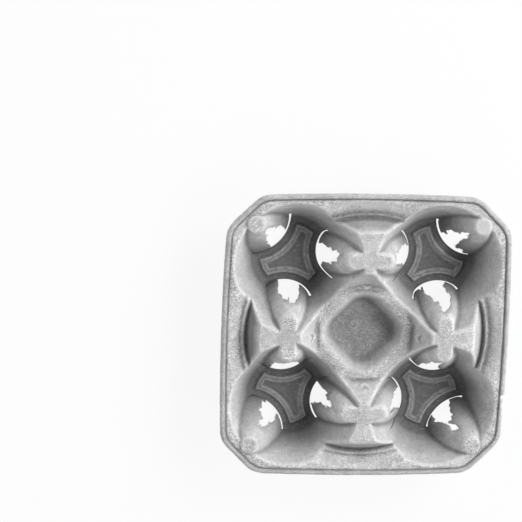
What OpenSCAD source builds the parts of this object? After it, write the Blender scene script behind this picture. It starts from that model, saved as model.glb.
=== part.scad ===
// Moulded pulp carrier for four cups: one sheet pressed over a form.
// It stands on the floors of its four cells, with Z up from there.

/* [Tray] */
// width across the middle of two opposite sides
side_w = 215; // [190:1:240]
// how far each side bows out between its corners
side_bow = 1.8; // [0.5:0.1:4]
// length cut off each side at a corner
corner_cut = 25; // [18:1:34]
// how far the rounding of the outline runs from a corner point
corner_blend = 8; // [3:0.5:8.5]
// thickness of the pulp sheet
skin = 2.3; // [1.8:0.1:2.8]
// height of the rim
rim_h = 38; // [34:0.5:41]
// width of the lip round the rim
lip_w = 3.7; // [2.5:0.1:5]
// how far the lip stands above the band inside it
lip_step = 1.2; // [0.6:0.1:2]

/* [Cells] */
// distance of a cell's middle in from the two sides beside it
cell_in = 53.9; // [52.6:0.1:55.4]
// radius of a cell where its wall would meet the floor
foot_r = 28.7; // [26:0.2:30]
// slope of a cell's wall off the vertical
wall_lean = 26.6; // [23:0.2:27]
// distance from a cell's middle to the flat of its wall along the rim
wall_flat = 46; // [45:0.2:47]
// rounding between the wall and the floor
foot_round = 6; // [3:0.5:9]
// height of the raised panel in a cell's floor
panel_h = 1.2; // [0.6:0.1:1.8]
// radius out to the ends of the panel's arms
panel_r = 24; // [21:0.5:25]
// flat margin between the panel and the openings
panel_margin = 4.3; // [3:0.1:5]
// width of the raised band round the panel
panel_band = 3.2; // [2.6:0.1:3.8]
// depth of the panel's middle below its band
panel_sink = 0.6; // [0.3:0.1:0.6]

/* [Spring tabs] */
// distance of the corner tab from the cell's middle
corner_tab_out = 43; // [42:0.2:44]
// radius of the corner tab at the floor
corner_tab_r = 29.9; // [28:0.1:30.5]
// radius of the flat end of the corner tab
corner_end_r = 6; // [4.5:0.1:7]
// distance of a post tab from the cell's middle
post_tab_out = 42.1; // [41:0.1:43]
// radius of a post tab at the floor
post_tab_r = 24; // [22:0.1:25]
// radius of the flat end of a post tab
post_end_r = 5.5; // [4:0.1:6.5]
// turn of a post tab away from the tray's middle
post_tab_turn = 6; // [4:0.5:9]
// width of the slit on each side of a tab's opening
slit_w = 1; // [0.6:0.1:1.5]
// half of the angle that the slits run through at a corner tab
corner_slit_turn = 47; // [40:1:52]
// half of the angle that the slits run through at a post tab
post_slit_turn = 60; // [50:1:64]
// radius of the wide part of a tab's opening
opening_r = 10; // [7:0.5:11]
// nearest that an opening comes to its tab's middle
opening_back = 11; // [9.5:0.1:13]

/* [Posts and middle] */
// height of the four posts
post_h = 44.5; // [42:0.5:47]
// distance from the tray's middle to the inner edge of a post
post_in = 49; // [46:0.5:51]
// distance from the side to the outer edge of a post
post_back = 27.5; // [25.5:0.5:31.5]
// height of the ledge round the middle pocket
ledge_h = 26; // [23:0.5:28]
// distance from the tray's middle to the foot of a post
ledge_r = 36; // [34:0.5:38]
// height of the pocket's floor
pocket_h = 12; // [8:0.5:16]
// half of the width of the pocket's floor
pocket_half = 19.5; // [16:0.5:21]
// rounding of the pocket's corners
pocket_round = 8; // [5:0.5:11]
// slope of the pocket's walls off the vertical
pocket_lean = 25; // [20:0.5:28]

/* [Side grooves] */
// distance from the side to the bottom of a groove
groove_in = 18.5; // [17.5:0.5:20.5]
// height of the bottom of a groove
groove_h = 28; // [25:0.5:30]
// distance from the bottom of a groove to its outer bead
bead_gap = 3; // [2:0.5:4]
// height of the bead above the bottom of a groove
bead_h = 5.8; // [4:0.2:7]
// distance from the bead to the dip outside it
dip_gap = 3; // [2:0.5:4]
// depth of the dip below the bead
dip_h = 0.8; // [0.4:0.1:1.2]
// slope of the band above the dip, off the level
band_lean = 33; // [32:0.5:38]

/* [Wear] */
// distance of the torn nick below the middle of its side
nick_off = 50; // [30:1:60]
// length of the nick along the rim
nick_len = 13; // [6:0.5:20]
// depth of the nick
nick_deep = 2.2; // [1:0.1:3]

/* [Hidden] */
$fn = 96;
pulp = [0.72, 0.71, 0.69];
// heights and drops that only need to clear the sheet
over = 24;
under = 9;
side_half = side_w / 2;
end_half = side_half - side_bow;
cell_off = side_half - cell_in;
post_out = side_half - post_back;
groove_r = side_half - groove_in;
flat_h = rim_h - lip_step;
deck_r = groove_r + bead_gap + dip_gap;
curve_steps = 5;
side_steps = 6;
hull_fn = 32;
// a slit stands this far inside the foot of its tab
slit_in = 0.4;
// run of the panel's sloped edge
panel_edge = 1.2;

// A point on the bowed +Y side, at a share of the way from its middle to its end.
function side_point(share, half, cut) =
    [share * (half - side_bow - cut), half - side_bow * share * share];
// A rounded corner from p to q, turned about the point v.
function curve(p, v, q) =
    [for (i = [0 : curve_steps]) let (t = i / curve_steps)
        (1 - t) * (1 - t) * p + 2 * t * (1 - t) * v + t * t * q];
function turned(p, quarter) =
    [p.x * cos(90 * quarter) + p.y * sin(90 * quarter),
     p.y * cos(90 * quarter) - p.x * sin(90 * quarter)];
// One quarter of the outline: the top side and the corner after it.
function quarter_points(half, cut) =
    let (a = side_point(1, half, cut))
    let (b = [a.y, a.x])
    let (share = 1 - corner_blend / a.x)
    let (start = side_point(share, half, cut))
    let (on_a = a + corner_blend * (b - a) / norm(b - a))
    let (on_b = b + corner_blend * (a - b) / norm(b - a))
    concat([for (i = [1 - side_steps : side_steps - 1])
                side_point(i / side_steps * share, half, cut)],
           curve(start, a, on_a),
           curve(on_b, b, [start.y, start.x]));
function outline_points(inset) =
    let (half = side_half - inset)
    let (cut = corner_cut - inset * (2 - sqrt(2)))
    [for (q = [0 : 3]) for (p = quarter_points(half, cut)) turned(p, q)];

// A line of points moved sideways by s, to the right of its direction.
function right_of(d) = [d.y, -d.x] / norm(d);
function moved(points, s) =
    let (last = len(points) - 1)
    [for (i = [0 : last])
        let (before = right_of(points[max(i, 1)] - points[max(i, 1) - 1]))
        let (after = right_of(points[min(i, last - 1) + 1] - points[min(i, last - 1)]))
        points[i] + s * (before + after) / (1 + before * after)];

// The plate that the form stands in, up to the band inside the lip.
module plate(s) {
    if (s == 0) {
        linear_extrude(flat_h)
            polygon(outline_points(0));
        linear_extrude(rim_h)
            difference() {
                polygon(outline_points(0));
                polygon(outline_points(lip_w));
            }
    } else {
        translate([0, 0, (flat_h - s - under) / 2])
            cube([side_w + 2 * under, side_w + 2 * under, flat_h - s + under], center = true);
    }
}

// The round of solid that the posts are left standing from.
module post_ring(s) {
    translate([0, 0, s == 0 ? 0 : -under])
        cylinder(r = deck_r, h = post_h - s + (s == 0 ? 0 : under));
}

// The groove outside the posts, as the space that it takes.
module groove(s) {
    in_run = groove_r - post_out;
    in_rise = post_h - groove_h;
    bead = [groove_r + bead_gap, groove_h + bead_h];
    dip = bead + [dip_gap, -dip_h];
    line = [[groove_r - in_run / in_rise * (post_h + over - groove_h), post_h + over],
            [groove_r, groove_h],
            bead,
            dip,
            dip + [over + side_half, (over + side_half) * tan(band_lean)]];
    shape = moved(line, s);
    rotate_extrude()
        polygon(concat(shape, [[shape[4].x, shape[4].y + over], [shape[0].x, shape[4].y + over]]));
}

// The space above the ledge, out to the inner slopes of the posts.
module well(s) {
    run = (post_in - ledge_r) / (post_h - ledge_h);
    line = [[0, ledge_h],
            [ledge_r, ledge_h],
            [ledge_r + run * (post_h + over - ledge_h), post_h + over]];
    shape = moved(line, s);
    rotate_extrude()
        polygon(concat(shape, [[0, post_h + over]]));
}

// The sunk pocket in the middle, turned like a diamond.
module pocket(s) {
    reach = (pocket_half - pocket_round) * sqrt(2);
    rise = ledge_h + over - pocket_h;
    grown = s / cos(pocket_lean);
    hull()
        for (turn = [0 : 90 : 270])
            rotate(turn)
                translate([reach, 0, pocket_h - s])
                    cylinder(r1 = pocket_round + grown - s * tan(pocket_lean),
                             r2 = pocket_round + grown + rise * tan(pocket_lean),
                             h = rise + s, $fn = hull_fn);
}

// The space inside one cell: a leaning wall, rounded into a flat floor.
module cell(s) {
    bend = foot_round * tan((90 - wall_lean) / 2);
    middle = [foot_r - bend, skin + foot_round];
    top = post_h + over;
    arc = [for (i = [0 : curve_steps])
        let (a = -90 + i / curve_steps * (90 - wall_lean))
        middle + (foot_round + s) * [cos(a), sin(a)]];
    low = s == 0 ? skin : -2 * under;
    flat = wall_flat + s;
    intersection() {
        rotate_extrude()
            polygon(concat([[0, low]],
                           s == 0 ? [] : [[middle.x, low]],
                           arc,
                           [[foot_r + s / cos(wall_lean) + (top - skin) * tan(wall_lean), top], [0, top]]));
        translate([flat - side_w, flat - side_w, -side_w])
            cube([side_w, side_w, 2 * side_w]);
    }
}

// A three-armed block: reach and gap are its ends' radius and its distance from the tabs at the top,
// and lean is how far its sides move out for each step down.
module three_arms(low, top, reach, gap, lean) {
    tall = top - low;
    difference() {
        translate([0, 0, low])
            cylinder(r1 = reach + tall * lean, r2 = reach, h = tall);
        each_tab()
            translate([0, 0, low - panel_h])
                cylinder(r1 = $foot + gap - (tall + panel_h) * lean,
                         r2 = $foot + gap + panel_h * lean,
                         h = tall + 2 * panel_h);
    }
}

// The panel in a cell's floor: a raised band with sloped edges round a lower middle.
module panel(s) {
    lean = panel_edge / panel_h;
    top = skin + panel_h - s;
    edge = panel_edge + s * lean / 2;
    inner = panel_edge + panel_band - s * lean / 2 - panel_sink * lean;
    difference() {
        three_arms(s == 0 ? 0 : -under, top, panel_r - edge, panel_margin + edge, lean);
        three_arms(top - panel_sink, top + panel_sink, panel_r - inner, panel_margin + inner, -lean);
    }
}

// Places a child at each tab of a cell, its +X side facing the cell's middle.
// The child reads the tab's foot, end, top, slits and tongue as $foot, $end, $top, $turn and $back.
module each_tab() {
    back = max(0, cell_off - post_tab_out * cos(post_tab_turn));
    places = [[45, corner_tab_out, corner_tab_r, corner_end_r, rim_h, corner_slit_turn, 0],
              [180 - post_tab_turn, post_tab_out, post_tab_r, post_end_r, post_h, post_slit_turn, back],
              [270 + post_tab_turn, post_tab_out, post_tab_r, post_end_r, post_h, post_slit_turn, back]];
    for (p = places)
        let ($foot = p[2], $end = p[3], $top = p[4], $turn = p[5], $back = p[6])
            rotate(p[0])
                translate([p[1], 0, 0])
                    rotate(180)
                        children();
}

// A tab: a leaning round stub with a flat end, and a tongue that runs back from it into its post.
module tab(s) {
    slope = ($foot - $end) / ($top - skin);
    low = s == 0 ? 0 : -under;
    tall = $top - s - low;
    end = $end - s * (sqrt(1 + slope * slope) - slope);
    foot = end + slope * tall;
    translate([0, 0, low])
        cylinder(r1 = foot, r2 = end, h = tall);
    if ($back > 0)
        translate([0, 0, low])
            rotate([90, 0, -90])
                linear_extrude($back)
                    polygon([[-foot, 0], [foot, 0], [end, tall], [-end, tall]]);
}

// The opening torn in front of a tab, with a slit running up on each side.
module opening() {
    out = $foot - slit_in;
    reach = 2 * out;
    translate([0, 0, -under])
        linear_extrude(post_h + over)
            difference() {
                intersection() {
                    circle(r = out);
                    polygon([[0, 0],
                             reach * [cos($turn), -sin($turn)],
                             [2 * reach, 0],
                             reach * [cos($turn), sin($turn)]]);
                }
                difference() {
                    circle(r = out - slit_w);
                    translate([opening_back + opening_r, 0])
                        circle(r = opening_r);
                }
            }
}

// Places a child at each cell, its +X and +Y sides facing the tray's corner.
module each_cell() {
    for (turn = [0 : 90 : 270])
        rotate(turn)
            translate([cell_off, cell_off, 0])
                children();
}

// Everything under one face of the sheet: its top face for s = 0, and its underside for s = skin.
module form(s) {
    difference() {
        union() {
            plate(s);
            post_ring(s);
        }
        groove(s);
        well(s);
        pocket(s);
        each_cell()
            cell(s);
    }
    each_cell() {
        each_tab()
            tab(s);
        panel(s);
    }
}

// The nick torn out of the lip, on the +X side.
module nick() {
    r = (nick_len * nick_len / 4 + nick_deep * nick_deep) / (2 * nick_deep);
    edge = side_half - side_bow * pow(nick_off / end_half, 2);
    translate([edge - nick_deep + r, -nick_off, 0])
        cylinder(r = r, h = rim_h + over);
}

module tray() {
    color(pulp)
        difference() {
            form(0);
            form(skin);
            each_cell()
                each_tab()
                    opening();
            nick();
        }
}

tray();
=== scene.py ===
import bpy
import math
import numpy as np
from mathutils import Euler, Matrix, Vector
from mathutils.geometry import delaunay_2d_cdt
from mathutils.kdtree import KDTree


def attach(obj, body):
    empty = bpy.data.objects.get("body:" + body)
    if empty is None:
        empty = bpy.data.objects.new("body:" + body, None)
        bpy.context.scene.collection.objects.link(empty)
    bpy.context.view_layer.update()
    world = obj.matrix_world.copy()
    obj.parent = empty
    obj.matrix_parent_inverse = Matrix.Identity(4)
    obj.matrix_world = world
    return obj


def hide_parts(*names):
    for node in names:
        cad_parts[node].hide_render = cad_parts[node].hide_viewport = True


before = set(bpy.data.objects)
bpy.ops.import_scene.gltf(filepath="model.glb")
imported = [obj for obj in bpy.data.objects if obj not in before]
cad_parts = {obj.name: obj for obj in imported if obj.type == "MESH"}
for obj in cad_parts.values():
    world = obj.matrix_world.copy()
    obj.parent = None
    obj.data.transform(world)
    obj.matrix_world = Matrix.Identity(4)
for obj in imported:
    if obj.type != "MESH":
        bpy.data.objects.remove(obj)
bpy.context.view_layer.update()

mm = 0.001
diagonal = math.sqrt(0.5)   # share of a length at 45 degrees along each axis
far = 150.0   # where a sloping stretch of a profile ends, past every edge of the tray
tiny = 1e-9

# the moulded form, in millimetres
form = {
    "side": 215.0, "bow": 1.8, "cornerCut": 25.0, "cornerBlend": 8.0,
    "sheet": 2.3, "rim": 38.0, "lipWidth": 3.7, "lipStep": 1.2,
    "cellOff": 53.6, "footR": 28.7, "footRound": 6.0, "footSteps": 10,
    "wallLean": 26.6, "wallFlat": 46.0, "wallSteep": 6.0,   # lean, then the flat stretch along the rim
    "panelR": 24.0, "panelMargin": 4.3, "panelEdge": 1.2, "panelRise": 1.2, "panelBand": 3.2,
    "panelSink": 0.6, "panelSoft": 0.1,
    "cornerTab": (43.0, 29.9, 6.0, 38.0),   # out from the cell, foot radius, end radius, top
    "postTab": (42.1, 24.0, 5.5, 44.5), "postTurn": 6.0, "tongueOver": 1.0,
    "postTop": 44.5, "postIn": 49.0, "postOut": 80.0, "ledge": 26.0, "ledgeR": 36.0,
    "pocket": 12.0, "pocketHalf": 19.5, "pocketRound": 11.0, "pocketLean": 25.0,
    "grooveR": 89.0, "groove": 28.0, "bead": (1.8, 4.8), "dip": (2.4, -1.9), "bandLean": 33.0,
}


def smoothStep(lo, hi, v):
    t = np.clip((v - lo) / (hi - lo), 0, 1)
    return t * t * (3 - 2 * t)


def movedLine(points, s):
    # a profile moved sideways by the sheet's thickness
    p = np.array(points, float)
    d = np.diff(p, axis=0)
    n = np.c_[d[:, 1], -d[:, 0]] / np.hypot(d[:, 0], d[:, 1])[:, None]
    before, after = np.vstack([n[:1], n]), np.vstack([n, n[-1:]])
    return p + s * (before + after) / (1 + (before * after).sum(1))[:, None]


def profileHeight(r, line):
    return np.interp(r, line[:, 0], line[:, 1])


def tabPlaces():
    c, turn = form["cellOff"], math.radians(form["postTurn"])
    out, reach = form["cornerTab"][0] * diagonal, form["postTab"][0]
    along, aside = c - reach * math.cos(turn), c + reach * math.sin(turn)
    return {"corner": (c + out, c + out) + form["cornerTab"][1:],
            "across": (along, aside) + form["postTab"][1:],
            "beside": (aside, along) + form["postTab"][1:]}


def grooveHeight(r, s):
    top = np.array([form["grooveR"], form["groove"]])
    run = (form["grooveR"] - form["postOut"]) / (form["postTop"] - form["groove"])
    bead = top + form["bead"]
    dip = bead + form["dip"]
    rise = math.tan(math.radians(form["bandLean"]))
    line = [top + [-run * far, far], top, bead, dip, dip + [far, far * rise]]
    return profileHeight(r, movedLine(line, s))


def wellHeight(r, s):
    run = (form["postIn"] - form["ledgeR"]) / (form["postTop"] - form["ledge"])
    foot = np.array([form["ledgeR"], form["ledge"]])
    line = [[0, form["ledge"]], foot, foot + [run * far, far]]
    return profileHeight(r, movedLine(line, s))


def outOfPocket(x, y):
    # how far out from the edge of the pocket's floor
    straight = form["pocketHalf"] - form["pocketRound"]
    u = np.abs(x + y) * diagonal - straight
    v = np.abs(y - x) * diagonal - straight
    outside = np.hypot(np.maximum(u, 0), np.maximum(v, 0))
    return outside + np.minimum(np.maximum(u, v), 0) - form["pocketRound"]


def pocketHeight(x, y, s):
    lean = math.radians(form["pocketLean"])
    out = outOfPocket(x, y)
    wall = form["pocket"] + (out - s / math.cos(lean)) / math.tan(lean)
    return np.maximum(form["pocket"] - s, wall)


def cellHeight(cx, cy, s):
    lean = math.radians(form["wallLean"])
    bend = form["footRound"] * math.tan((math.pi / 2 - lean) / 2)
    arc = np.linspace(-math.pi / 2, -lean, form["footSteps"])
    middle = np.array([form["footR"] - bend, form["sheet"] + form["footRound"]])
    curve = middle + (form["footRound"] + s) * np.c_[np.cos(arc), np.sin(arc)]
    line = np.vstack([[0, form["sheet"] - s], curve, curve[-1] + far * np.array([math.tan(lean), 1.0])])
    wall = profileHeight(np.hypot(cx, cy), line)
    pastFlat = np.maximum(cx, cy) - form["wallFlat"] - s
    return np.maximum(wall, form["rim"] - form["lipStep"] + pastFlat * form["wallSteep"])


def formHeight(x, y, s):
    # height of one face of the sheet: its top for s = 0, its underside for s = sheet
    x, y = np.abs(x), np.abs(y)
    r = np.hypot(x, y)
    ring = form["grooveR"] + form["bead"][0] + form["dip"][0]
    z = np.where(r < ring, form["postTop"], form["rim"] - form["lipStep"]) - s
    cx, cy = x - form["cellOff"], y - form["cellOff"]
    for hollow in (grooveHeight(r, s), wellHeight(r, s), pocketHeight(x, y, s), cellHeight(cx, cy, s)):
        z = np.minimum(z, hollow)
    places = tabPlaces()
    for tx, ty, foot, end, top in places.values():
        slope = (foot - end) / (top - form["sheet"])
        shrink = s * (math.sqrt(1 + slope * slope) - slope)
        out = np.hypot(x - tx, y - ty)
        if (tx, ty) != places["corner"][:2]:
            # the flat tongue from a post tab back into its post
            back = min(tx, ty) + form["tongueOver"]
            gap = math.hypot(form["cellOff"] - tx, form["cellOff"] - ty)
            ex, ey = (tx - form["cellOff"]) / gap, (ty - form["cellOff"]) / gap
            along, aside = (x - tx) * ex + (y - ty) * ey, (x - tx) * ey - (y - ty) * ex
            out = np.where((along > 0) & (along < back), np.abs(aside), out)
        z = np.maximum(z, top - s - np.maximum(0, (out - end + shrink) / slope))
    return z


def insidePanel(x, y):
    # how far in from the edge of the three-armed panel in a cell's floor
    x, y = np.abs(x), np.abs(y)
    inside = form["panelR"] - np.hypot(x - form["cellOff"], y - form["cellOff"])
    for tx, ty, foot, _, _ in tabPlaces().values():
        inside = np.minimum(inside, np.hypot(x - tx, y - ty) - foot - form["panelMargin"])
    return inside


def panelHeight(x, y):
    # the panel's raised band, and the lower middle inside it
    inside = insidePanel(x, y)
    run = form["panelEdge"]
    fall = run * form["panelSink"] / form["panelRise"]
    up = smoothStep(-form["panelSoft"], run, inside)
    down = smoothStep(-fall, form["panelSoft"], inside - run - form["panelBand"])
    return form["panelRise"] * up - form["panelSink"] * down


# how the pulp softens and wanders from the mould
pulp = {
    "pitch": 0.5, "reach": 112.0, "seed": 11,
    "soften": 0.65, "pocketSoften": 1.9, "pocketReach": (30.0, 44.0),
    "discSoften": 0.3, "discReach": (1.5, 3.0),   # the round pads on the corner tabs stay crisp
    "sway": (0.15, 5.0), "lumps": (0.06, 1.2),   # height and width of the unevenness
    # painted highlight (partly wear) on edges and painted shade in hollows, where they stand off from the
    # blurred form: blur, strength, and where they start and are full
    "crests": [(2.2, 0.6, 0.4, 1.8), (0.9, 0.8, 0.05, 0.26)],
    "hollowShades": [(2.2, 0.55, 0.2, 1.6), (0.9, 0.55, 0.04, 0.22)],
    "level": (0.35, 1.3), "slopeSoften": 1.0,   # the slopes that are still level, and fully steep
    # painted shade that darkens the pulp below a height in the cells, and the share of painted shade kept on
    # the underside
    "deepBelow": 31.0, "deepSoften": 1.5, "underShade": 0.4,
    # painted highlight lines, partly wear, and painted shade lines along the forms: place across them, width
    # and strength
    "panelPaintedLines": {
        "crest": [(1.6, 0.9, 0.42), (4.2, 0.9, 0.36)],
        "hollow": [(-0.6, 0.9, 0.6), (5.7, 0.9, 0.43)],
    },
    "pocketHighlightLines": {"crest": [(7.5, 2.6, 0.4)]},
    # the grooves' painted shade and highlight lines differ from side to side, with the fall of light: the way
    # out to each, then its lines
    "groovePaintedLines": [
        ((0, 1), {"crest": [(10.0, 3.5, 0.7)],
                  "hollow": [(-1.4, 1.5, 1.0), (-4.0, 3.0, 0.55), (3.2, 2.6, 1.0)]}),
        ((1, 0), {"crest": [(10.5, 3.5, 1.0)],
                  "hollow": [(-0.2, 2.6, 1.0), (4.4, 3.0, 0.8)]}),
        ((0, -1), {"hollow": [(-0.4, 2.2, 0.95), (-5.0, 0.9, 0.5), (4.0, 1.1, 0.5)]}),
        ((-1, 0), {"hollow": [(-1.4, 2.2, 1.0), (-4.0, 3.0, 0.85), (4.2, 1.2, 0.6)]}),
    ],
    "onBand": (-0.6, -0.1), "sideShare": (0.6, 0.75),   # how the groove's lines fade at its ends
    "beadDull": (1.5, 0.7),   # width and strength of what dulls the painted highlight on the groove's bead
}

# small bowed ridges at the foot of each post, with a hollow behind: bearing and place from the middle
nubs = {
    "places": [(-3.5, 38.8), (184.0, 36.6), (88.5, 34.6), (-87.5, 38.4)],
    "half": 3.6, "bow": 1.7, "width": 0.85, "ridge": 0.85, "hollow": 0.8, "gap": 2.3,
    "line": (2.6, 1.4, 11.0, 0.9),   # the painted shade line in front: how far, width, half length and strength
}


def nubHeight(x, y):
    z = np.zeros_like(x)
    for bearing, reach in nubs["places"]:
        a = math.radians(bearing)
        out = x * math.cos(a) + y * math.sin(a)
        share = (y * math.cos(a) - x * math.sin(a)) / nubs["half"]
        past = (out - reach - nubs["bow"] * share ** 2) / nubs["width"]
        fade = np.where(out > 0, np.clip(1 - share ** 2, 0, 1), 0)
        behind = past - nubs["gap"] / nubs["width"]
        z += fade * (nubs["ridge"] * np.exp(-past ** 2) - nubs["hollow"] * np.exp(-behind ** 2))
    return z


def nubShadeLine(x, y):
    # painted shade along the crease where the ledge meets the foot of each post
    before, width, half, strength = nubs["line"]
    shade = np.zeros_like(x)
    for bearing, reach in nubs["places"]:
        a = math.radians(bearing)
        out, aside = x * math.cos(a) + y * math.sin(a), y * math.cos(a) - x * math.sin(a)
        line = np.exp(-((out - reach + before) / width) ** 2 - (aside / half) ** 4)
        shade = np.maximum(shade, strength * line)
    return shade


def blurred(z, width):
    # even softening in both directions, width in grid steps
    n = int(math.ceil(3 * width))
    k = np.exp(-0.5 * (np.arange(-n, n + 1) / width) ** 2)
    k /= k.sum()
    for axis in (0, 1):
        pad = [(n, n) if a == axis else (0, 0) for a in (0, 1)]
        z = np.apply_along_axis(np.convolve, axis, np.pad(z, pad, mode="edge"), k, "valid")
    return z


class HeightField:
    def __init__(self):
        self.step = pulp["pitch"]
        self.count = int(2 * pulp["reach"] / self.step) + 1
        line = np.linspace(-pulp["reach"], pulp["reach"], self.count)
        self.x, self.y = np.meshgrid(line, line, indexing="ij")
        self.faces = {}
        self.pressSheet()
        self.findMarks()

    def softened(self, z, width):
        return blurred(z, width / self.step)

    def pressSheet(self):
        # the two faces of the sheet, soft and uneven
        draw = np.random.default_rng(pulp["seed"])
        pocket = 1 - smoothStep(*pulp["pocketReach"], np.hypot(self.x, self.y))
        discX, discY, _, discR, _ = tabPlaces()["corner"]
        fromDisc = np.hypot(np.abs(self.x) - discX, np.abs(self.y) - discY) - discR
        disc = 1 - smoothStep(*pulp["discReach"], fromDisc)
        for name, s in (("top", 0.0), ("under", form["sheet"])):
            hard = formHeight(self.x, self.y, s)
            z = self.softened(hard, pulp["soften"])
            z += pocket * (self.softened(hard, pulp["pocketSoften"]) - z)
            z += disc * (self.softened(hard, pulp["discSoften"]) - z)
            for height, width in (pulp["sway"], pulp["lumps"]):
                wander = self.softened(draw.normal(size=z.shape), width)
                z = z + height * wander / wander.std()
            self.faces[name] = z
        self.faces["top"] += nubHeight(self.x, self.y)

    def findMarks(self):
        # where the pulp gets painted highlight (partly wear) on edges and painted shade in hollows, creases
        # and the depth of the cells, and how level and deep it lies
        top = self.faces["top"] + panelHeight(self.x, self.y)
        r = np.hypot(self.x, self.y)
        for name, sign, rows in (("crest", 1, pulp["crests"]), ("hollow", -1, pulp["hollowShades"])):
            self.faces[name] = np.zeros_like(top)
            for width, strength, start, full in rows:
                mark = strength * smoothStep(start, full, sign * (top - self.softened(top, width)))
                self.faces[name] = np.maximum(self.faces[name], mark)
        self.faces["hollow"] = np.maximum(self.faces["hollow"], nubShadeLine(self.x, self.y))
        onBand = smoothStep(*pulp["onBand"], formHeight(self.x, self.y, 0) - grooveHeight(r, 0))
        # the painted highlight on the groove's bead is dulled
        width, dull = pulp["beadDull"]
        bead = np.exp(-((r - form["grooveR"] - form["bead"][0]) / width) ** 2)
        self.faces["crest"] *= 1 - dull * onBand * bead
        # painted highlight and shade lines along the panel's band, and a painted highlight band round the
        # pocket
        self.addLines(pulp["panelPaintedLines"], insidePanel(self.x, self.y), 1.0)
        self.addLines(pulp["pocketHighlightLines"], outOfPocket(self.x, self.y), 1.0)
        # painted shade and highlight lines along the groove, differing side by side with the fall of light
        for (wayX, wayY), lines in pulp["groovePaintedLines"]:
            ahead = (self.x * wayX + self.y * wayY) / np.maximum(r, self.step)
            facing = smoothStep(*pulp["sideShare"], ahead)
            self.addLines(lines, r - form["grooveR"], onBand * facing)
        slope = np.hypot(*np.gradient(self.softened(top, pulp["slopeSoften"]), self.step))
        self.faces["level"] = 1 - smoothStep(*pulp["level"], slope)
        # painted shade, the darker the lower the pulp lies
        height = self.softened(top, pulp["deepSoften"])
        self.faces["deep"] = np.clip(1 - height / pulp["deepBelow"], 0, 1)

    def addLines(self, lines, across, where):
        # painted highlight and painted shade lines: place and width as measured across them, and strength
        for name, rows in lines.items():
            for place, width, strength in rows:
                line = where * strength * np.exp(-((across - place) / width) ** 2)
                self.faces[name] = np.maximum(self.faces[name], line)

    def at(self, name, points):
        # value between the grid's points
        g = (points + pulp["reach"]) / self.step
        i = np.clip(g.astype(int), 0, self.count - 2)
        f = g - i
        z = self.faces[name]
        a = z[i[:, 0], i[:, 1]] * (1 - f[:, 0]) + z[i[:, 0] + 1, i[:, 1]] * f[:, 0]
        b = z[i[:, 0], i[:, 1] + 1] * (1 - f[:, 0]) + z[i[:, 0] + 1, i[:, 1] + 1] * f[:, 0]
        return a * (1 - f[:, 1]) + b * f[:, 1]


field = HeightField()
print("form laid out on", field.count, "by", field.count, "points")

# edges of the sheet
edge = {
    "spacing": 0.62, "sidePoints": 41, "bendPoints": 9, "seed": 5,
    # the deckle: depth, least share of it, and the strength and width of its waves
    "deckle": 0.14, "leastDeckle": 0.2, "waves": [(0.6, 5.0), (0.4, 1.2)],
    "round": 2.2, "roundUnder": 0.6, "hold": 0.4,
    "lipSoft": 0.5, "lipLine": 0.45, "lipSpacing": 4.0,
    # the lip's smoother finish, the painted shade over the lip, the painted shade line along its inner side
    # and that line's width
    "lipSmooth": 0.6, "lipShade": 0.12, "lipInnerShadeLine": 0.95, "lipBand": 0.85,
    # torn nick in the +X lip: where that side starts, its waves, then places along the side and depths
    "nickFrom": 90.0, "nickWaves": (0.18, 1.5),
    "nick": [(-73.0, 0.0), (-66.0, 0.35), (-60.0, 0.9), (-56.0, 0.8), (-53.0, 1.5), (-49.5, 1.9),
             (-47.0, 2.5), (-45.2, 2.2), (-44.3, 0.5), (-43.6, 0.0)],
}


def resampled(points, spacing, closed=True):
    p = np.array(points, float)
    if closed:
        p = np.vstack([p, p[:1]])
    run = np.r_[0, np.cumsum(np.hypot(*np.diff(p, axis=0).T))]
    count = max(3, int(round(run[-1] / spacing)))
    at = np.linspace(0, run[-1], count + 1)[:-1] if closed else np.linspace(0, run[-1], count + 1)
    return np.c_[np.interp(at, run, p[:, 0]), np.interp(at, run, p[:, 1])]


def wanderLine(count, width, draw):
    # smooth random values round a closed line
    n = int(math.ceil(3 * width))
    k = np.exp(-0.5 * (np.arange(-n, n + 1) / width) ** 2)
    v = draw.normal(size=count)
    v = np.convolve(np.r_[v[-n:], v, v[:n]], k / k.sum(), "valid")[:count]
    return v / v.std()


def outlinePoints():
    half, cut, blend = form["side"] / 2, form["cornerCut"], form["cornerBlend"]

    def onSide(share):
        return np.array([share * (half - form["bow"] - cut), half - form["bow"] * share * share])

    a = onSide(1.0)
    b = a[::-1]
    end = 1 - blend / a[0]
    start = onSide(end)
    along = (b - a) / np.linalg.norm(b - a)
    quarter = [onSide(u) for u in np.linspace(-end, end, edge["sidePoints"])[1:-1]]
    t = np.linspace(0, 1, edge["bendPoints"])[:, None]
    for p, v, q in ((start, a, a + blend * along), (b - blend * along, b, start[::-1])):
        quarter += list((1 - t) ** 2 * p + 2 * t * (1 - t) * v + t * t * q)
    quarter = np.array(quarter)
    turns = [quarter, np.c_[quarter[:, 1], -quarter[:, 0]], -quarter, np.c_[-quarter[:, 1], quarter[:, 0]]]
    return np.vstack(turns)[::-1]


def insetLine(points, depth):
    # a closed line moved to its left, which is inward for a counter-clockwise line
    d = np.roll(points, -1, axis=0) - np.roll(points, 1, axis=0)
    n = np.c_[-d[:, 1], d[:, 0]] / np.hypot(d[:, 0], d[:, 1])[:, None]
    return points + n * np.asarray(depth).reshape(-1, 1)


def deckleOutline():
    draw = np.random.default_rng(edge["seed"])
    line = resampled(outlinePoints(), edge["spacing"])
    rough = sum(size * wanderLine(len(line), width, draw) for size, width in edge["waves"])
    depth = edge["deckle"] * (np.abs(rough) + edge["leastDeckle"])
    along, deep = np.array(edge["nick"]).T
    torn = np.where(line[:, 0] > edge["nickFrom"], np.interp(line[:, 1], along, deep), 0)
    size, width = edge["nickWaves"]
    return insetLine(line, depth + torn * (1 + size * wanderLine(len(line), width, draw)))


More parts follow.
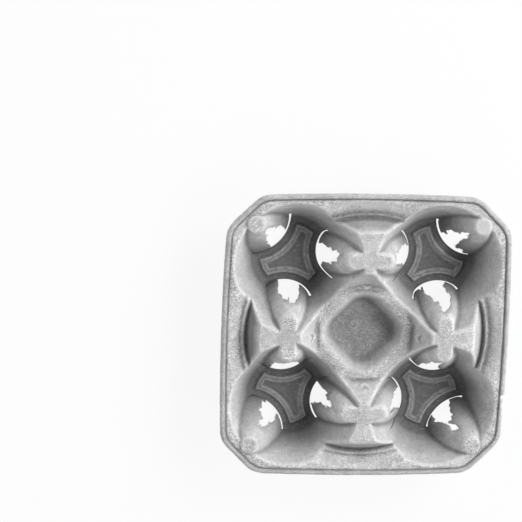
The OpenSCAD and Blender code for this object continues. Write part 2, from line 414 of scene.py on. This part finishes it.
# openings torn in front of the tabs
tears = {
    "seed": 29, "inFoot": 0.4, "spacing": 0.5, "arcPoints": 60, "curvePoints": 6,
    "rag": 0.8, "ragWidths": (2.2, 0.7), "ragShare": 0.6, "ragPower": 1.3, "ragFade": 4, "ragTries": 11,
    "thin": 0.42, "thinReach": 1.7, "thinTop": 0.6, "span": 40.0,   # the sheet feathers out at a tear
    # the ends of the slits
    "endRound": 0.6, "endSwell": 0.5, "endReach": 2.0, "endStart": 0.05, "endPoints": 6,
    # tab, side in x and y, slits at each end as angle and width, torn back edge as angles and radii
    "openings": [
        ("corner", -1, 1, (51, 1.9), (-43, 0.5),
         [(21, 27.6), (25, 25.0), (28, 19.6), (25, 13.3), (11, 9.6), (-2, 10.8), (-12, 15.6),
          (-16, 21.7), (-13, 28.0)]),
        ("across", -1, 1, (55, 0.9), (-52, 1.5),
         [(26, 22.4), (23, 20.6), (19, 16.2), (6, 11.5), (-19, 9.9), (-31, 11.1), (-28, 14.6),
          (-24, 17.9), (-21, 20.6), (-20, 22.4)]),
        ("beside", -1, 1, (46, 0.6), (-53, 1.2),
         [(18, 22.4), (22, 18.5), (20, 15.4), (15, 12.8), (-1, 11.0), (-19, 13.0), (-27, 15.3),
          (-29, 18.3), (-26, 21.2), (-24, 22.4)]),
        ("across", 1, 1, (55, 0.9), (-58, 0.6),
         [(15, 22.4), (24, 19.6), (28, 15.7), (27, 12.4), (23, 9.2), (2, 8.2), (-22, 10.5), (-26, 14.0),
          (-24, 21.8)]),
        ("corner", 1, 1, (38, 1.2), (-43, 1.6),
         [(28, 27.6), (25, 25.6), (16, 26.8), (9, 24.8), (10, 21.8), (6, 18.4), (9, 16.5), (2, 14.2),
          (-3, 12.1), (-10, 12.6), (-15, 16.0), (-18, 18.9), (-22, 20.4), (-23, 22.8), (-19, 25.1),
          (-19, 27.7)]),
        ("beside", 1, 1, (56, 1.6), (-48, 1.0),
         [(40, 22.2), (34, 22.0), (26, 21.4), (27, 20.2), (26, 18.4), (23, 15.7), (18, 13.3),
          (13, 10.7), (6, 8.6), (-10, 7.8), (-29, 8.9), (-35, 11.8), (-33, 14.9), (-25, 17.4),
          (-21, 20.2), (-20, 22.4)]),
        ("across", -1, -1, (45, 1.3), (-55, 0.8),
         [(21, 22.4), (13, 21.7), (8, 19.8), (9, 16.3), (10, 13.4), (-1, 11.2), (-21, 12.0),
          (-23, 14.1), (-29, 16.6), (-30, 19.5), (-31, 22.2)]),
        ("corner", -1, -1, (40, 0.5), (-41, 1.1),
         [(12, 27.8), (17, 25.8), (18, 24.0), (17, 21.8), (11, 19.5), (12, 17.0), (14, 14.9), (1, 14.1),
          (-7, 15.5), (-14, 18.3), (-17, 21.8), (-18, 24.3), (-15, 26.6), (-14, 28.3)]),
        ("beside", -1, -1, (60, 0.6), (-60, 0.6),
         [(31, 22.4), (34, 19.6), (27, 13.6), (14, 10.4), (-12, 10.2), (-29, 12.5), (-36, 15.9),
          (-28, 21.1)]),
        ("across", 1, -1, (62, 1.0), (-60, 0.6),
         [(20, 22.4), (23, 21.1), (26, 18.1), (21, 16.1), (21, 14.2), (16, 12.0), (16, 10.1), (-5, 9.8),
          (-24, 12.2), (-17, 15.9), (-21, 20.3), (-24, 22.4)]),
        ("beside", 1, -1, (48, 0.6), (-59, 1.1),
         [(19, 22.2), (15, 18.2), (19, 13.2), (9, 9.6), (-15, 10.2), (-26, 14.8), (-29, 18.6),
          (-25, 21.6)]),
        ("corner", 1, -1, (37, 1.1), (-41, 1.2),
         [(16, 28.3), (18, 25.5), (20, 23.8), (15, 21.9), (12, 19.7), (10, 17.9), (10, 15.1), (5, 12.9),
          (-3, 12.7), (1, 15.2), (2, 17.8), (0, 19.3), (-8, 20.3), (-14, 21.2), (-13, 23.2),
          (-15, 25.3), (-19, 27.1)]),
    ],
}


def smoothed(points):
    # a rounded path through the points
    p = np.vstack([points[:1], points, points[-1:]])
    t = np.linspace(0, 1, tears["curvePoints"], endpoint=False)[:, None]
    out = []
    for a, b, c, d in zip(p[:-3], p[1:-2], p[2:-1], p[3:]):
        square = (2 * a - 5 * b + 4 * c - d) * t * t
        cube = (3 * b - a - 3 * c + d) * t ** 3
        out.append(0.5 * (2 * b + (c - a) * t + square + cube))
    return np.vstack(out + [points[-1:]])


def crossesItself(line):
    # true where two stretches of a closed line cut each other
    def side(p, q, r):
        ahead, over = q - p, r - p
        return ahead[..., 0] * over[..., 1] - ahead[..., 1] * over[..., 0]

    a, b = line[:, None], np.roll(line, -1, axis=0)[:, None]
    c, d = line[None], np.roll(line, -1, axis=0)[None]
    return bool(((side(a, b, c) * side(a, b, d) < 0) & (side(c, d, a) * side(c, d, b) < 0)).any())


def tearLine(opening, draw):
    kind, sx, sy, plus, minus, back = opening
    tx, ty, foot, _, _ = tabPlaces()[kind]
    centre = np.array([tx * sx, ty * sy])
    face = np.array([form["cellOff"] * sx, form["cellOff"] * sy]) - centre
    face /= np.linalg.norm(face)
    side = np.array([-face[1], face[0]])
    out = foot - tears["inFoot"]

    def polar(angle, radius):
        a = np.radians(np.asarray(angle, float))
        return np.asarray(radius)[..., None] * (np.cos(a)[..., None] * face + np.sin(a)[..., None] * side)

    def slit(tip, width, stop):
        # inner edge of a slit, from its closed end to the wide part
        long = math.radians(abs(tip - stop)) * out
        cap = width * tears["endRound"]
        start = np.linspace(tears["endStart"], 1, tears["endPoints"]) * cap
        run = np.r_[start, np.arange(start[-1], long, edge["spacing"])[1:], long]
        bulge = np.sqrt(1 - (1 - np.clip(run / cap, 0, 1)) ** 2)
        swell = 1 + tears["endSwell"] * np.exp(-(run / tears["endReach"]) ** 2)
        return polar(tip + (stop - tip) * run / long, out - width * bulge * swell)

    count = tears["arcPoints"]
    arc = polar(np.linspace(minus[0], plus[0], count), np.full(count, out))
    clean = resampled(arc, edge["spacing"], closed=False)
    ragged = resampled(smoothed(polar(*np.array(back, float).T)), tears["spacing"], closed=False)
    d = np.gradient(ragged, axis=0)
    n = np.c_[-d[:, 1], d[:, 0]] / np.hypot(d[:, 0], d[:, 1])[:, None]
    place = np.arange(len(ragged))
    fade = np.minimum(1, np.minimum(place, place[::-1]) / tears["ragFade"])
    rag = sum(tears["ragShare"] * wanderLine(len(ragged), w, draw) for w in tears["ragWidths"])
    rag = tears["rag"] * fade * np.sign(rag) * np.abs(rag) ** tears["ragPower"]
    first = slit(*plus, back[0][0])[1:-1]
    last = slit(*minus, back[-1][0])[1:-1][::-1]
    torn = np.r_[np.zeros(len(clean) + len(first)), np.ones(len(ragged)), np.zeros(len(last))]
    for share in np.linspace(1, 0, tears["ragTries"]):   # less ragged where the line would cut itself
        line = np.vstack([clean, first, ragged + share * n * rag[:, None], last]) + centre
        if not crossesItself(line):
            break
    return line, torn


def insideLine(points, line):
    # even-odd test of many points against one closed line
    hit = np.zeros(len(points), bool)
    lo, hi = line.min(0), line.max(0)
    near = np.nonzero(((points >= lo) & (points <= hi)).all(1))[0]
    px, py = points[near].T
    odd = np.zeros(len(near), bool)
    for (ax, ay), (bx, by) in zip(line, np.roll(line, -1, axis=0)):
        if ay != by:
            odd ^= ((ay > py) != (by > py)) & (px < (bx - ax) * (py - ay) / (by - ay) + ax)
    hit[near] = odd
    return hit


def nearest(points, line):
    # distance from each point to the nearest stretch of a closed line
    best = np.full(len(points), np.inf)
    for a, b in zip(line, np.roll(line, -1, axis=0)):
        d = b - a
        t = np.clip(((points - a) @ d) / max(d @ d, tiny), 0, 1)
        q = points - a - t[:, None] * d
        best = np.minimum(best, q[:, 0] ** 2 + q[:, 1] ** 2)
    return np.sqrt(best)


# the sheet's mesh
mesh = {
    "topSpacing": 0.88, "underSpacing": 1.6, "clear": 0.5, "weld": 1e-5, "sharp": 48,
    "rings": (0.3, 0.7, 1.15), "denseRing": 0.5, "tornRing": 0.45, "ringClear": 0.6,
}


def pointTree(points):
    tree = KDTree(len(points))
    for i, p in enumerate(points):
        tree.insert((p[0], p[1], 0), i)
    tree.balance()
    return tree


def gapTo(tree, p):
    return tree.find((p[0], p[1], 0))[2]


def planPoints(outline, openings, step):
    # every point of the plan, with the edges that have to stay
    fixed, links = [], []
    for line in [outline] + [o[0] for o in openings]:
        start = sum(len(f) for f in fixed)
        fixed.append(line)
        links += [(start + i, start + (i + 1) % len(line)) for i in range(len(line))]
    rings = [insetLine(outline, d)[::1 if d < mesh["denseRing"] else 2] for d in mesh["rings"]]
    rings += [insetLine(line, -mesh["tornRing"])[::2] for line, _ in openings]
    for line, _ in openings:   # a ring that runs into its own opening is dropped there
        rings = [r[~insideLine(r, line)] for r in rings]
    n = int(form["side"] / step) + 2
    rows = np.arange(-n, n + 1)
    gx, gy = np.meshgrid(rows, rows, indexing="ij")
    grid = np.c_[((gx + 0.5 * (gy % 2)) * step).ravel(), (gy * step * math.sqrt(0.75)).ravel()]
    grid = grid[insideLine(grid, insetLine(outline, mesh["rings"][-1]))]
    for line, _ in openings:
        grid = grid[~insideLine(grid, line)]
    edgeTree = pointTree(np.vstack(fixed))
    loose = [p for r in rings for p in r if gapTo(edgeTree, p) > mesh["ringClear"] * mesh["tornRing"]]
    ringTree = pointTree(loose)
    keep = [p for p in grid if min(gapTo(edgeTree, p), gapTo(ringTree, p)) > mesh["clear"] * step]
    return np.vstack(fixed + [np.array(loose), np.array(keep)]), links


def sheetPlan(outline, openings, step):
    # triangles of the sheet in plan, all counter-clockwise, with the edges first in the list of points
    points, links = planPoints(outline, openings, step)
    out = delaunay_2d_cdt([Vector(p) for p in points], links, [], 0, mesh["weld"])
    points, tris = np.array([tuple(v) for v in out[0]]), np.array(out[2])
    middle = points[tris].mean(1)
    keep = insideLine(middle, outline)
    for line, _ in openings:
        keep &= ~insideLine(middle, line)
    tris = tris[keep]
    a, b, c = (points[tris[:, i]] for i in range(3))
    flip = (b[:, 0] - a[:, 0]) * (c[:, 1] - a[:, 1]) < (b[:, 1] - a[:, 1]) * (c[:, 0] - a[:, 0])
    tris[flip] = tris[flip][:, ::-1]
    return points, tris


def tornShare(points, openings):
    # 1 at a torn edge, fading to 0 a short way in
    torn = np.zeros(len(points))
    for line, mark in openings:
        close = np.nonzero((np.abs(points - line.mean(0)) < tears["span"]).all(1))[0]
        d = np.sqrt(((points[close, None] - line[mark > 0][None]) ** 2).sum(2)).min(1)
        torn[close] = np.maximum(torn[close], 1 - smoothStep(0, tears["thinReach"], d))
    return torn


def held(z, limit, way):
    # eases heights off as they near a limit, so none passes it
    soft = edge["hold"]
    room = way * (limit - z)
    return np.where(room < soft, limit - way * soft * np.exp(np.minimum(room - soft, 0) / soft), z)


def inFromEdge(points):
    # how far in from the tray's outline, without its deckle
    return nearest(points, resampled(outlinePoints(), edge["lipSpacing"]))


def sheetHeights(points, outline, openings):
    # heights of the two faces over the same points
    top, under = field.at("top", points), field.at("under", points)
    panel = panelHeight(*points.T)
    inLip = inFromEdge(points)
    width, soft = form["lipWidth"], edge["lipSoft"]
    lip = form["lipStep"] * (1 - smoothStep(width - soft, width + soft, inLip))
    line = edge["lipLine"] * np.exp(-((inLip - width - soft) / soft) ** 2)
    top, under = top + panel + lip - line, under + panel
    toEdge = nearest(points, outline[::2])
    for face, size, sign in ((top, edge["round"], -1), (under, edge["roundUnder"], 1)):
        short = np.clip(size - toEdge, 0, size)
        face += sign * (size - np.sqrt(size * size - short * short))
    torn = tornShare(points, openings)
    waste = (top - under) * torn * (1 - tears["thin"])
    top = held(top - tears["thinTop"] * waste, form["postTop"], 1)
    under = held(under + (1 - tears["thinTop"]) * waste, 0, -1)
    return top, under, torn


def sheetMarks(plan, topCount, torn):
    # what the finish reads at every point of the sheet
    values = {name: field.at(name, plan) for name in ("crest", "hollow", "deep", "level")}
    values["torn"] = torn
    # the lip is smoother, a little darker as painted shade, with a painted shade line along its inner side
    lipGap = inFromEdge(plan) - form["lipWidth"] - edge["lipSoft"]
    onLip = 1 - smoothStep(-edge["lipSoft"], 0, lipGap)
    lipLine = edge["lipInnerShadeLine"] * np.exp(-(lipGap / edge["lipBand"]) ** 2)
    values["level"] *= 1 - edge["lipSmooth"] * onLip
    for shade in (edge["lipShade"] * onLip, lipLine):
        values["hollow"] = np.maximum(values["hollow"], shade)
    # the painted shade is weaker on the underside
    for name in ("hollow", "deep"):
        values[name][topCount:] *= pulp["underShade"]
    return values


def sheetMesh():
    outline = deckleOutline()
    draw = np.random.default_rng(tears["seed"])
    openings = [tearLine(o, draw) for o in tears["openings"]]
    plans = [sheetPlan(outline, openings, mesh[k]) for k in ("topSpacing", "underSpacing")]
    heights = [sheetHeights(points, outline, openings) for points, _ in plans]
    (topPoints, topTris), (underPoints, underTris) = plans
    n = len(topPoints)
    sides = np.vstack([topTris[:, [0, 1]], topTris[:, [1, 2]], topTris[:, [2, 0]]])
    _, first, count = np.unique(np.sort(sides, axis=1), axis=0, return_index=True, return_counts=True)
    walls = [(q, p, p + n, q + n) for p, q in sides[first[count == 1]].tolist()]
    verts = np.vstack([np.c_[topPoints, heights[0][0]], np.c_[underPoints, heights[1][1]]]) * mm
    faces = topTris.tolist() + (underTris[:, ::-1] + n).tolist() + walls
    data = bpy.data.meshes.new("cup_tray")
    data.from_pydata(verts.tolist(), [], faces)
    plan = np.vstack([topPoints, underPoints])
    marks = sheetMarks(plan, n, np.r_[heights[0][2], heights[1][2]])
    for name, v in marks.items():
        data.attributes.new(name, "FLOAT", "POINT").data.foreach_set("value", v.astype(np.float32))
    data.polygons.foreach_set("use_smooth", np.ones(len(faces), bool))
    data.update()
    data.set_sharp_from_angle(angle=math.radians(mesh["sharp"]))
    data.validate()
    print("sheet of", sum(len(f) - 2 for f in faces), "triangles")
    return data, openings


def added(name, data):
    piece = bpy.data.objects.new(name, data)
    bpy.context.scene.collection.objects.link(piece)
    return piece


trayMesh, tornOpenings = sheetMesh()
tray = added("cup_tray", trayMesh)


# loose fibres along the torn edges
hairs = {
    "seed": 41, "gap": 1.1, "ends": 2, "length": (0.8, 2.8), "thick": 0.085, "taper": 0.75,
    "setBack": 0.3, "stray": 0.55, "curl": 0.25, "offFloor": 2.0, "sides": 3, "steps": 4,
}


def addHair(verts, faces, start, way, bend, long):
    # one tapering, bent fibre
    sides, steps, first = hairs["sides"], hairs["steps"], len(verts)
    side = way.orthogonal().normalized()
    other = way.cross(side)
    for k in range(steps):
        t = k / (steps - 1)
        middle = start + way * (long * t) + bend * (long * t * t)
        middle.z = max(middle.z, hairs["offFloor"] * hairs["thick"])
        size = hairs["thick"] * (1 - hairs["taper"] * t)
        for m in range(sides):
            a = 2 * math.pi * m / sides
            spot = middle + side * (size * math.cos(a)) + other * (size * math.sin(a))
            verts.append(tuple(spot * mm))
    for k in range(steps - 1):
        row = first + k * sides
        for m in range(sides):
            a, b = row + m, row + (m + 1) % sides
            faces.append((a, b, b + sides, a + sides))
    last = first + (steps - 1) * sides
    faces.append(tuple(first + m for m in reversed(range(sides))))
    faces.append(tuple(last + m for m in range(sides)))


def hairMesh():
    draw = np.random.default_rng(hairs["seed"])
    verts, faces = [], []
    for line, mark in tornOpenings:
        ragged = line[mark > 0]
        ahead = np.gradient(ragged, axis=0)
        inward = np.c_[-ahead[:, 1], ahead[:, 0]] / np.hypot(*ahead.T)[:, None]
        stop = len(ragged) - hairs["ends"]
        for i in np.arange(hairs["ends"], stop, hairs["gap"] / tears["spacing"]).astype(int):
            i = int(np.clip(i + draw.integers(-1, 2), 1, len(ragged) - 2))
            spot = ragged[i:i + 1] - hairs["setBack"] * inward[i]
            z = 0.5 * (field.at("top", spot) + field.at("under", spot))[0]
            way = Vector((*inward[i], 0)) + Vector(draw.normal(0, hairs["stray"], 3))
            way.normalize()
            bend = Vector(draw.normal(0, hairs["curl"], 3))
            long = draw.uniform(*hairs["length"])
            addHair(verts, faces, Vector((*spot[0], z)), way, bend, long)
    data = bpy.data.meshes.new("torn_fibres")
    data.from_pydata(verts, [], faces)
    data.attributes.new("torn", "FLOAT", "POINT").data.foreach_set("value", np.ones(len(verts), np.float32))
    data.validate()
    print("fibres of", len(faces), "faces")
    return data


fibres = added("torn_fibres", hairMesh())


# shader maths: a socket with operators
class Wire:
    def __init__(self, tree, socket):
        self.tree, self.socket = tree, socket

    def math(self, operation, other, swap=False):
        pair = (other, self) if swap else (self, other)
        return self.tree.add("ShaderNodeMath", {"operation": operation}, {0: pair[0], 1: pair[1]})

    def __add__(self, other):
        return self.math("ADD", other)

    def __radd__(self, other):
        return self.math("ADD", other, True)

    def __sub__(self, other):
        return self.math("SUBTRACT", other)

    def __rsub__(self, other):
        return self.math("SUBTRACT", other, True)

    def __mul__(self, other):
        return self.math("MULTIPLY", other)

    def __rmul__(self, other):
        return self.math("MULTIPLY", other, True)


class Nodes:
    def __init__(self, material):
        material.use_nodes = True
        self.tree = material.node_tree
        self.tree.nodes.clear()

    def add(self, kind, settings=None, sockets=None, out=0):
        node = self.tree.nodes.new(kind)
        for name, value in (settings or {}).items():
            setattr(node, name, value)
        for name, value in (sockets or {}).items():
            if isinstance(value, Wire):
                self.tree.links.new(value.socket, node.inputs[name])
            else:
                node.inputs[name].default_value = value
        return Wire(self, node.outputs[out]) if len(node.outputs) else None


def grey(v):
    return (v, v, v, 1.0)


# moulded fibre
fibre = {
    "dark": 0.48, "light": 0.70, "roughness": 0.93, "specular": 0.22, "bump": 0.9, "bumpDepth": 0.0005,
    # repeats per metre, detail and roughness of each noise
    "noises": {
        "cloud": (75.0, 4.0, 0.6), "mottle": (330.0, 3.0, 0.65), "grain": (900.0, 3.0, 0.7),
        "fine": (2400.0, 2.0, 0.6), "pits": (560.0, 1.0, 0.4), "patch": (45.0, 2.0, 0.6),
        "speck": (1350.0, 2.0, 0.75), "strand": (1.0, 2.0, 0.5),
    },
    # short fibres: turn, repeats along and across them, and the noise at which they start and are full
    "darkStrands": [((0.2, 0.4, 0.5), 260, 2300, 0.64, 0.74), ((0.5, 0.1, 2.1), 300, 2500, 0.65, 0.75)],
    "lightStrands": [((0.1, 0.3, 1.3), 240, 2200, 0.63, 0.73), ((0.4, 0.2, 2.8), 280, 2400, 0.64, 0.74)],
    "strandBend": 0.6,
    # the mould's fine screen, which shows in patches and less on walls
    "weave": {"Scale": 205.0, "Distortion": 1.6, "Detail": 1.0, "Detail Scale": 0.5},
    "weaveTurn": 45.0, "patchPart": (0.42, 0.62), "screenOnWalls": 0.2,
    "pitPart": (0.72, 0.78), "wearAndHighlightPart": (0.2, 0.5), "tornPart": (0.3, 0.6),
    # what the plain grey follows, and the part of it that runs from dark to light
    "shares": {"cloud": 0.4, "mottle": 0.3, "grain": 0.3, "screen": 0.1}, "sharePart": (0.38, 0.66),
    # coats over the plain grey, in this order: grey and strength
    "coats": {
        # deep and hollow are painted shade deep in the cells and in creases; crest is partly wear, partly
        # painted highlight on edges; torn is partly darker inner fibre, partly painted shade along the torn
        # edge
        "deep": (0.12, 0.93), "hollow": (0.10, 0.85), "crest": (0.86, 0.68), "torn": (0.34, 0.6),
        "darkStrands": (0.30, 0.35), "lightStrands": (0.82, 0.4), "pits": (0.16, 0.6),
    },
    # the speckle over all of it, weaker on walls and deep in the cells
    "speckPart": (0.37, 0.63), "speckShare": 0.75, "speckScreen": 0.4, "speckle": 1.24, "toneLift": 0.46,
    "speckOnWalls": 0.25, "speckDeep": 0.5,
    "relief": {"mottle": 0.5, "grain": 0.5, "fine": 0.3, "darkStrands": 0.2, "lightStrands": 0.2,
               "pits": -0.6, "screen": 0.3},
}


def fibreMaterial():
    made = bpy.data.materials.new("moulded_fibre")
    n = Nodes(made)
    where = n.add("ShaderNodeTexCoord", None, None, "Object")

    def noise(name, place=where, distortion=0.0):
        scale, detail, roughness = fibre["noises"][name]
        return n.add("ShaderNodeTexNoise", {"noise_dimensions": "3D"},
                     {"Vector": place, "Scale": scale, "Detail": detail, "Roughness": roughness,
                      "Distortion": distortion})

    def between(value, lo, hi):
        return n.add("ShaderNodeMapRange", {"interpolation_type": "SMOOTHSTEP"},
                     {"Value": value, "From Min": lo, "From Max": hi})

    def mix(factor, a, b, settings=None):
        return n.add("ShaderNodeMix", {"data_type": "RGBA", **(settings or {})}, {0: factor, 6: a, 7: b}, 2)

    def strands(rows):
        # short fibres, lying one way in each row
        found = []
        for turn, along, across, lo, hi in rows:
            place = n.add("ShaderNodeMapping", None,
                          {"Vector": where, "Rotation": turn, "Scale": (along, across, across)})
            found.append(between(noise("strand", place, fibre["strandBend"]), lo, hi))
        return sum(found)

    def spread(name):
        return n.add("ShaderNodeAttribute", {"attribute_name": name}, None, "Fac")

    def onLevel(least):
        # 1 on level pulp, falling to the least share on walls
        return level * (1 - least) + least

    def weighed(weights):
        return sum(marks[name] * weight for name, weight in weights.items())

    level, deep = spread("level"), spread("deep")
    marks = {name: noise(name) for name in ("cloud", "mottle", "grain", "fine")}
    # painted shade deep in the cells
    marks["deep"] = deep
    # painted shade in hollows and creases
    marks["hollow"] = spread("hollow")
    # lighter edges: partly wear, partly painted highlight, in patches
    marks["crest"] = spread("crest") * between(marks["mottle"], *fibre["wearAndHighlightPart"])
    # torn edges darker: partly the inner fibre, partly painted shade
    marks["torn"] = spread("torn") * between(marks["grain"], *fibre["tornPart"])
    for name in ("darkStrands", "lightStrands"):
        marks[name] = strands(fibre[name])
    marks["pits"] = between(noise("pits"), *fibre["pitPart"])
    turned = n.add("ShaderNodeMapping", None,
                   {"Vector": where, "Rotation": (0.0, 0.0, math.radians(fibre["weaveTurn"]))})
    weave = [n.add("ShaderNodeTexWave", {"wave_type": "BANDS", "bands_direction": way, "wave_profile": "SIN"},
                   {"Vector": turned, **fibre["weave"]}) for way in ("X", "Y")]
    patch = between(noise("patch"), *fibre["patchPart"])
    marks["screen"] = weave[0] * weave[1] * patch * onLevel(fibre["screenOnWalls"])
    share = between(weighed(fibre["shares"]), *fibre["sharePart"])
    colour = mix(share, grey(fibre["dark"]), grey(fibre["light"]))
    for name, (tint, strength) in fibre["coats"].items():
        colour = mix(marks[name] * strength, colour, grey(tint))
    speck = between(noise("speck"), *fibre["speckPart"])
    speckle = speck * fibre["speckShare"] + marks["screen"] * fibre["speckScreen"]
    tone = speckle * fibre["speckle"] + fibre["toneLift"]
    strength = onLevel(fibre["speckOnWalls"]) * (1 - deep * deep * fibre["speckDeep"])
    colour = mix(strength, colour, tone, {"blend_type": "MULTIPLY", "clamp_result": True})
    bump = n.add("ShaderNodeBump", None,
                 {"Strength": fibre["bump"], "Distance": fibre["bumpDepth"],
                  "Height": weighed(fibre["relief"])})
    shader = n.add("ShaderNodeBsdfPrincipled", None,
                   {"Base Color": colour, "Roughness": fibre["roughness"],
                    "Specular IOR Level": fibre["specular"], "Normal": bump})
    n.add("ShaderNodeOutputMaterial", None, {"Surface": shader})
    return made


pulpFinish = fibreMaterial()
for piece in (tray, fibres):
    piece.data.materials.append(pulpFinish)
    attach(piece, "root")
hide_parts("tray")
print("tray finished")

# floor, light and camera
studio = {
    "floor": 3.0, "floorColour": 0.86, "floorWhite": 0.9, "world": 0.08, "lampGap": 2.2, "lampSize": 1.1,
    # bearing clockwise from +Y and height in degrees, power in watts
    "lamps": {"key": (45, 32, 39.5), "right": (92, 38, 18.5), "left": (268, 20, 13.5),
              "left_back": (318, 20, 10.0), "right_front": (135, 40, 9.0), "front": (180, 30, 6.5)},
    # place in millimetres, turn in degrees and focal length
    "camera": ((-283.35, 462.2, 1808.09), (-13.036, -6.104, 1.969), 172.586),
    "sensor": 36.0, "clipEnd": 50.0,
}


def seenRays(n):
    # 1 for what the camera sees, straight, mirrored or through
    kinds = ("Camera", "Glossy", "Transmission")
    rays = [n.add("ShaderNodeLightPath", None, None, "Is %s Ray" % kind) for kind in kinds]
    return n.add("ShaderNodeClamp", None, {"Value": sum(rays)})


def floorMaterial():
    made = bpy.data.materials.new("studio_floor")
    n = Nodes(made)
    plain = n.add("ShaderNodeBsdfDiffuse", None, {"Color": grey(studio["floorColour"])})
    white = n.add("ShaderNodeEmission", None, {"Color": grey(1.0), "Strength": 1.0})
    shader = n.add("ShaderNodeMixShader", None, {0: seenRays(n) * studio["floorWhite"], 1: plain, 2: white})
    n.add("ShaderNodeOutputMaterial", None, {"Surface": shader})
    return made


def layFloor():
    s = studio["floor"]
    data = bpy.data.meshes.new("studio_floor")
    data.from_pydata([(-s, -s, 0), (s, -s, 0), (s, s, 0), (-s, s, 0)], [], [(0, 1, 2, 3)])
    data.materials.append(floorMaterial())
    added("studio_floor", data)


def setLight():
    world = bpy.data.worlds.new("soft_white")
    bpy.context.scene.world = world
    n = Nodes(world)
    seen = n.add("ShaderNodeBackground", None, {"Color": grey(1.0), "Strength": 1.0})
    soft = n.add("ShaderNodeBackground", None, {"Color": grey(1.0), "Strength": studio["world"]})
    mixed = n.add("ShaderNodeMixShader", None, {0: seenRays(n), 1: soft, 2: seen})
    n.add("ShaderNodeOutputWorld", None, {"Surface": mixed})
    for name, (bearing, height, power) in studio["lamps"].items():
        lamp = bpy.data.lights.new(name + "_light", "AREA")
        lamp.size, lamp.energy = studio["lampSize"], power
        a, e = math.radians(bearing), math.radians(height)
        way = Vector((math.sin(a) * math.cos(e), math.cos(a) * math.cos(e), math.sin(e)))
        lampPiece = added(name + "_light", lamp)
        lampPiece.location = way * studio["lampGap"]
        lampPiece.rotation_euler = (-way).to_track_quat("-Z", "Y").to_euler()


def setCamera():
    place, turn, lens = studio["camera"]
    lensData = bpy.data.cameras.new("camera")
    lensData.lens, lensData.sensor_width = lens, studio["sensor"]
    lensData.clip_end = studio["clipEnd"]
    camera = added("camera", lensData)
    camera.location = Vector(place) * mm
    camera.rotation_euler = Euler([math.radians(a) for a in turn], "XYZ")
    bpy.context.scene.camera = camera


layFloor()
setLight()
setCamera()
bpy.context.scene.view_settings.view_transform = "Standard"
print("studio set")
